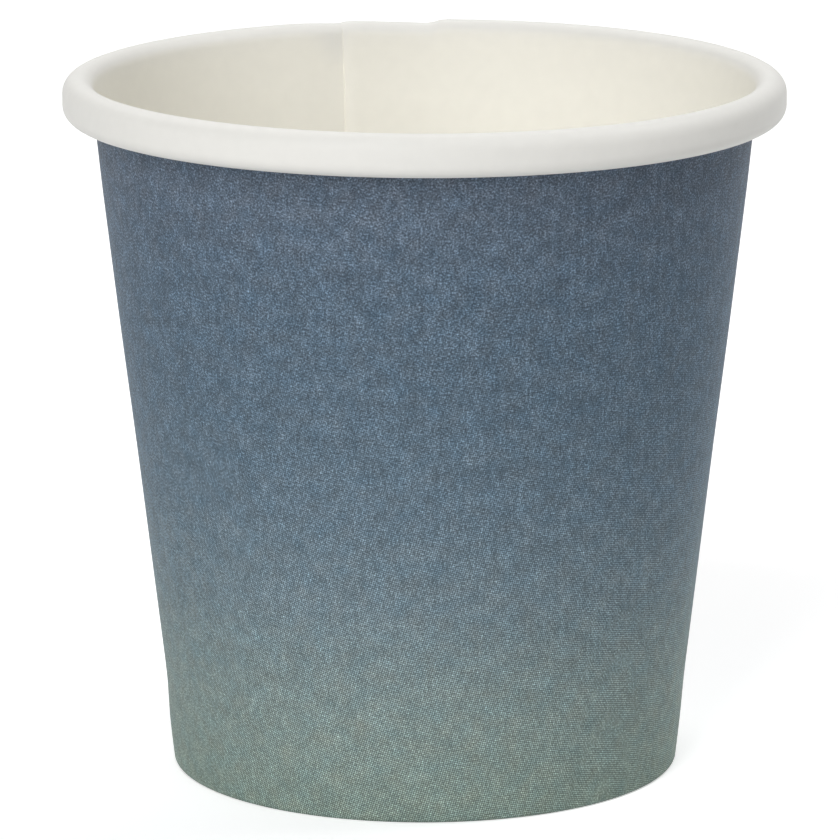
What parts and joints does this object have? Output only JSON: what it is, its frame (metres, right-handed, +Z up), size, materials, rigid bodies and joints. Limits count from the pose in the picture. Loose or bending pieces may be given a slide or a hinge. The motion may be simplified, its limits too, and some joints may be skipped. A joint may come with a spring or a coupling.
{
  "type": "paper cup",
  "caption": "Single-wall tapered paper cup with a lapped side seam, a rolled rim and a recessed base disc held in a turned-in foot.",
  "frame": {"origin": "centre of the ring that the cup stands on, at floor level", "axes": "+Z up along the cup's axis, towards the rim; +Y towards the back, where the lapped seam is"},
  "size_m": [0.062, 0.062, 0.0603],
  "materials": {
    "printed_board": "satin",
    "white_board": "satin"
  },
  "bodies": {
    "root": {"side_wall": "printed_board", "base_disc": "white_board"}
  },
  "joints": []
}
